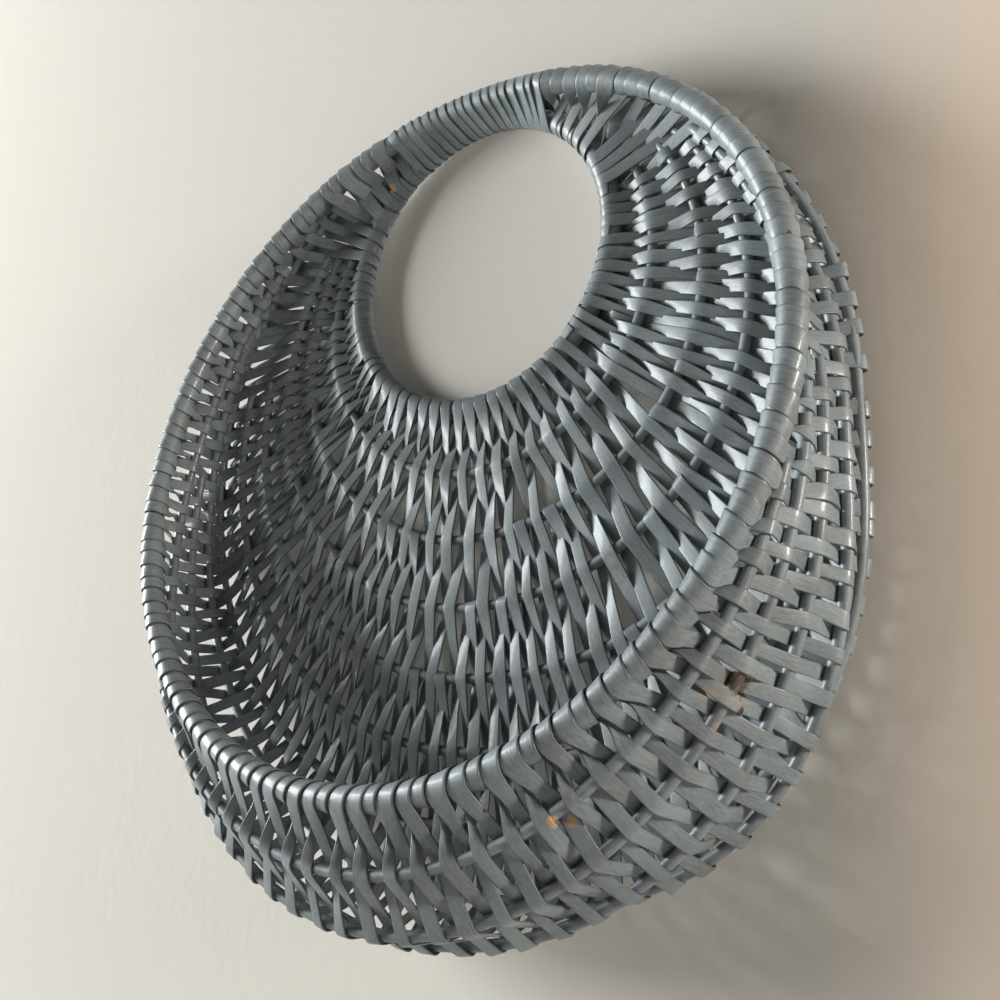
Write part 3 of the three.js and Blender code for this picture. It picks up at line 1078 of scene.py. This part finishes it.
        wide = width * np.clip(self.snugness * gap / width, self.narrowest, widest)
        wide[-1] = self.snugness * gap[-1]
        stands = sector < self.form.sectors - self.flat_sectors
        self._legs(keys, chance, rings, tops, along, gap, wide, outward, stands)
        if outward:
            lane = float(lanes[-1])
            spot = (onward[-1], outside[-1])
            wind = self.rim_winds[turn % group // 2]
            wound = (lane, lane + self.rim_lanes[turn % group + 1] - self.rim_lanes[turn % group])
            swept = (self.lead_in, wind - self.rim_wind_short)
            band = float(wide[-1]) * chance.uniform(*self.band_range)
            self._turn(keys, self.form.rim, wound, spot, int(side[-1]), swept, band)
            return
        lane = float(lanes[0])
        spot = (-onward[0], outside[0])
        if turn == self.form.rows_per_sector - 1:
            ahead = lane + float(room[0])
        else:
            ahead = float(self._lanes(turn + 1, sector, rings, short)[0][0])
        sparse = rings[0] == 0 and 2.0 * float(gap[0]) > self.sparse_pitch
        swept = (self.lead_in, self.eye_winds[int(sparse)])
        self._turn(keys, rings[0], (lane, ahead), spot, int(side[0]), swept, float(wide[0]))

    def _legs(
        self,
        keys: PathKeys,
        chance: np.random.Generator,
        rings: Sequence[int],
        tops: Array,
        along: Array,
        gap: Array,
        wide: Array,
        outward: bool,
        stands: bool,
    ) -> None:
        """Keys on the ribs of a row, with a twisted key between each pair of rings.

        Where neighbouring rows pass each other the strip stands partly on edge, by a share of the
        angle whose cosine is the room over the width. Strips from inside the rim stand almost
        upright before they lie down on the first belly rib.

        Args:
            keys: Keys to add to.
            chance: Random numbers.
            rings: Rings that the row crosses.
            tops: Strip centres on the rings, three for each ring.
            along: Ring directions.
            gap: Distance to the next row on the rings.
            wide: Strip width on the rings.
            outward: Whether the row runs to the rim.
            stands: Whether the row may stand upright below the rim.
        """
        middle = (tops[1:, 0] + tops[:-1, 2]) / 2.0
        middle_along = unit(along[1:] + along[:-1])
        sense = 1.0 if outward else -1.0
        room = (gap[1:] + gap[:-1]) / 2.0
        span = (wide[1:] + wide[:-1]) / 2.0
        twist = self.twist_share * np.arccos(np.clip(room / span, self.least_room, 1.0))
        under_rim = np.array(rings[1:]) == self.form.rim
        depth = smoothstep(*self.stand_depth, np.linalg.norm(tops[1:, 1] - tops[:-1, 1], axis=1))
        upright = np.where(under_rim & outward & stands, depth, 0.0)
        twist = np.where(under_rim, self.rim_twist * upright + self.rim_roll, twist)
        twist = sense * (twist + chance.normal(0.0, self.twist_spread, len(middle)))
        places = np.empty((len(middle) * 4 + 3, 3))
        across = np.empty_like(places)
        rolls, widths = np.empty((2, len(places)))
        tilt = chance.normal(0.0, self.tilt_spread, len(rings))
        for key in range(3):
            places[key::4], across[key::4], rolls[key::4], widths[key::4] = tops[:, key], along, tilt, wide
        places[3::4], across[3::4], rolls[3::4] = middle, middle_along, twist
        snug = np.clip(self.room_share * room / span, self.tightest, 1.0 - self.pinch)
        waist = self.rim_waists[0 if stands else 1]
        below = np.where(upright > 0.0, 1.0 - self.rim_pinch * upright, waist)
        widths[3::4] = span * np.where(under_rim, below, snug)
        inside = slice(3, -3)
        order = slice(None) if outward else slice(None, None, -1)
        keys.add(places[inside][order], across[inside][order], rolls[inside][order], widths[inside][order])

    def _weaver(self, name: str, sector: int) -> bpy.types.Object:
        """One weaver: a tail on the eye hoop, then its rows and turns, as one swept strip.

        Args:
            name: Name of the piece.
            sector: Number of the sector.

        Returns:
            The weaver.
        """
        chance = np.random.default_rng(self.seed + sector)
        short = self._short_turns(sector)
        keys = PathKeys()
        start, _ = self._lanes(0, sector, self.form.crossed(sector), short)
        _, _, onward, outside = self._spots(self.form.crossed(sector), start)
        lane = float(start[0])
        tail = (self.tail_wind, self.lead_in)
        self._turn(keys, 0, (lane, lane), (-onward[0], outside[0]), 1, tail, self.strip_width)
        for turn in range(self.form.rows_per_sector):
            self._row(keys, chance, sector, turn, short)
        path, across, roll, width = keys.drawn(self.step, self.blur)
        thickness = np.full(len(path), self.strip_thickness)
        return make_piece(name, *Sweep(Section.FLAT).skin(path, across, roll, width, thickness))


@dataclass
class HandleLashing(SubAssembly):
    """The flat strip wound round both hoops between the ends of the handle."""

    rods: Rods
    turns: int = 18
    per_turn: int = 24
    strip_thickness: float = 0.9 * MM
    lift: float = 0.45 * MM
    width_share: float = 1.14
    spare_turns: float = 0.6
    first_turn: float = 0.8
    farthest: float = 0.97
    roll: float = 0.13
    step: float = 1.0 * MM
    blur: float = 1.1 * MM
    wander: float = 0.10
    width_spread: float = 0.05
    seed: int = 7

    def build(self) -> Pieces:
        """Make the lashing.

        The path goes half round one rod and half round the other, turn after turn, while it moves
        along the handle.

        Returns:
            The object by the name of the node that it stands for.
        """
        chance = np.random.default_rng(self.seed)
        count = self.turns * self.per_turn
        step = np.arange(count + 1)
        pitch = 2.0 / (self.turns + self.spare_turns)
        wander = np.repeat(chance.normal(0.0, self.wander, self.turns + 1), self.per_turn)[: count + 1]
        share = -1.0 + pitch * (self.first_turn + step / self.per_turn + wander)
        share = np.clip(share, -self.farthest, self.farthest)
        eye, eye_along = self._rod_line(0, share * self.form.handle_ray)
        rim, rim_along = self._rod_line(self.form.rim, share * self.form.handle_rim_angle)
        along = unit(eye_along + rim_along)
        to_rim = unit(square(rim - eye, along))
        over = np.cross(to_rim, along)
        turn = (step % self.per_turn) / self.per_turn * FULL_TURN
        radius = self.rods.hoop_radius + self.strip_thickness / 2.0 + self.lift
        rod = np.where((turn < np.pi)[:, None], rim, eye)
        places = rod + radius * (np.cos(turn)[:, None] * over + np.sin(turn)[:, None] * to_rim)
        width = self.form.handle_length * pitch / 2.0 * self.width_share
        uneven = np.repeat(chance.normal(0.0, self.width_spread, self.turns + 1), self.per_turn)
        keys = PathKeys()
        keys.add(places, along, np.full(count + 1, self.roll), width * (1.0 + uneven[: count + 1]))
        path, across, roll, wide = keys.drawn(self.step, self.blur)
        thick = np.full(len(path), self.strip_thickness)
        skin = Sweep(Section.FLAT).skin(path, across, roll, wide, thick)
        return {"handle_lashing": make_piece("handle_lashing", *skin)}

    def slot(self, node: str) -> Slot:
        """The lashing has a slot of its own."""
        return Slot.LASHING

    def _rod_line(self, index: int, angle: Array) -> tuple[Array, Array]:
        """Points and directions of a hoop at angles from its top."""
        ring = self.form.rings[index]
        return ring.points(angle), ring.tangents(angle)


@dataclass(frozen=True)
class Lamp:
    """A square soft lamp."""

    name: str
    place: Triple
    size: float
    watts: float
    colour: Triple = (1.0, 1.0, 1.0)

    def hang(self, target: Triple) -> None:
        """Add the lamp to the scene, facing a target point."""
        data = bpy.data.lights.new(self.name, "AREA")
        data.energy, data.size, data.color = self.watts, self.size, self.colour
        aim(self.name, data, self.place, unit(np.array(self.place) - np.array(target)))


@dataclass
class Studio:
    """Camera, lamps, world, wall panel and floor."""

    eye_point: Triple = (0.289321, -0.381335, -0.314649)
    azimuth: float = 35.379
    elevation: float = -13.581
    roll: float = 1.507
    lens: float = 36.417
    near_clip: float = 0.01
    middle: Triple = (0.0, -0.03, -0.19)
    lamps: tuple[Lamp, ...] = (
        Lamp("key_lamp", (-2.9, -1.0, 0.35), 1.5, 182.0, (0.94, 0.985, 1.0)),
        Lamp("side_lamp", (3.5, -0.15, 0.35), 0.7, 126.0, (1.0, 0.94, 0.86)),
        Lamp("back_lamp", (0.5, 1.6, 0.7), 1.4, 15.0),
    )
    room_light: Triple = (0.80, 0.79, 0.77)
    room_strength: float = 0.02
    room_pale: Triple = (0.60, 0.58, 0.55)
    reach: float = 4.0
    wall: float = 7.6 * MM
    floor: float = -0.95
    wall_paint: Triple = (0.80, 0.75, 0.68)
    wall_painted_glow: Triple = (0.82, 0.62, 0.45)
    wall_painted_glow_share: float = 0.55
    painted_glow_reach: Pair = (0.15, 0.28)
    wall_grain: Triple = (150.0, 150.0, 150.0)
    wall_relief: Pair = (0.25, 0.8 * MM)
    floor_paint: Triple = (0.50, 0.49, 0.47)
    floor_glow: Triple = (0.60, 0.58, 0.55)
    floor_share: float = 0.6

    def build(self) -> None:
        """Make the camera, the light and the stage."""
        self._camera()
        for lamp in self.lamps:
            lamp.hang(self.middle)
        bpy.context.scene.world = self._room()
        bpy.context.scene.view_settings.view_transform = "Standard"
        self._stage()

    def _room(self) -> bpy.types.World:
        """Make the dim world, which the camera and reflections see as a pale room.

        Returns:
            The world.
        """
        graph = Graph(bpy.data.worlds.new("soft_room"))
        dim, pale = (
            graph.node("ShaderNodeBackground", None, {"Color": (*colour, 1.0), "Strength": strength})
            for colour, strength in ((self.room_light, self.room_strength), (self.room_pale, 1.0))
        )
        mixed = graph.node("ShaderNodeMixShader", None, {0: graph.seen(), 1: dim, 2: pale})
        graph.node("ShaderNodeOutputWorld", None, {"Surface": mixed})
        return graph.owner

    def _camera(self) -> None:
        """Place the camera at the photograph's view, by two angles of its back axis and a tilt."""
        turn, rise, tilt = np.radians([self.azimuth, self.elevation, self.roll])
        back = np.array([np.sin(turn) * np.cos(rise), -np.cos(turn) * np.cos(rise), np.sin(rise)])
        data = bpy.data.cameras.new("view")
        data.lens, data.clip_start = self.lens, self.near_clip
        bpy.context.scene.camera = aim("view", data, self.eye_point, back, tilt)

    def _stage(self) -> None:
        """Make the floor and the panel behind the basket, which shows on its front side only."""
        side = 2.0 * self.reach
        corner = (-self.reach, self.wall, self.floor)
        wall = self._sheet("backdrop", corner, (side, 0.0, 0.0), (0.0, 0.0, self.reach - self.floor))
        graph = Graph(bpy.data.materials.new("backdrop_paint"))
        where = graph.node("ShaderNodeTexCoord", None, None, "Object")
        grain = graph.noise(where, self.wall_grain, detail=4.0)
        strength, depth = self.wall_relief
        relief = {"Strength": strength, "Distance": depth, "Height": grain}
        bump = graph.node("ShaderNodeBump", None, relief)
        # Painted light: the wall's warm glow is nothing behind the basket and rises to full towards the
        # wall's right side.
        aside = graph.node("ShaderNodeSeparateXYZ", None, {0: where}, "X")
        share = self.wall_painted_glow_share * graph.ease(aside, *self.painted_glow_reach)
        plain = graph.backdrop(self.wall_paint, self.wall_painted_glow, share, bump)
        clear = graph.node("ShaderNodeBsdfTransparent")
        behind = graph.node("ShaderNodeNewGeometry", None, None, "Backfacing")
        mixed = graph.node("ShaderNodeMixShader", None, {0: behind, 1: plain, 2: clear})
        graph.node("ShaderNodeOutputMaterial", None, {"Surface": mixed})
        wall.data.materials.append(graph.owner)
        wall.visible_shadow = False
        wall.visible_diffuse = False
        corner = (-self.reach, -self.reach, self.floor)
        floor = self._sheet("floor", corner, (side, 0.0, 0.0), (0.0, side, 0.0))
        ground = Graph(bpy.data.materials.new("floor_paint"))
        pale = ground.backdrop(self.floor_paint, self.floor_glow, self.floor_share)
        ground.node("ShaderNodeOutputMaterial", None, {"Surface": pale})
        floor.data.materials.append(ground.owner)

    @staticmethod
    def _sheet(name: str, corner: Triple, across: Triple, up: Triple) -> bpy.types.Object:
        """Make a flat sheet with four corners, from one corner and the two edges that leave it.

        Args:
            name: Name of the sheet.
            corner: Its first corner.
            across: First edge.
            up: Second edge, to the left of the first as seen from the sheet's face.

        Returns:
            The sheet.
        """
        first, edge, side = np.array([corner, across, up])
        corners = np.array([first, first + edge, first + edge + side, first + side])
        mesh = bpy.data.meshes.new(name)
        mesh.from_pydata(corners.tolist(), [], [(0, 1, 2, 3)])
        return link(name, mesh)


def main() -> None:
    """Build the studio and the basket, dress each piece and tie it to the frame."""
    logging.basicConfig(level=logging.INFO)
    Studio().build()
    form = BasketForm()
    rods = Rods(form)
    finishes = {
        Slot.HOOP: PaintedCane("hoop_paint", painted_seam_shade_share=0.0),
        Slot.RIB: PaintedCane("rib_paint", colour=(0.232, 0.265, 0.276), painted_seam_shade_share=0.0, spots=MARKS),
        Slot.WEAVER: PaintedCane("weaver_paint", spots=MARKS),
        # The lashing gets a lighter copy of the same paint: painted light on the handle at the top.
        Slot.LASHING: PaintedCane("lashing_paint_painted_lighter", colour=(0.285, 0.338, 0.350)),
    }
    paints = {slot: finish.make() for slot, finish in finishes.items()}
    for assembly in (rods, Weave(form, rods), HandleLashing(form, rods)):
        assembly.dress(assembly.build(), paints)


if __name__ == "__main__":
    main()
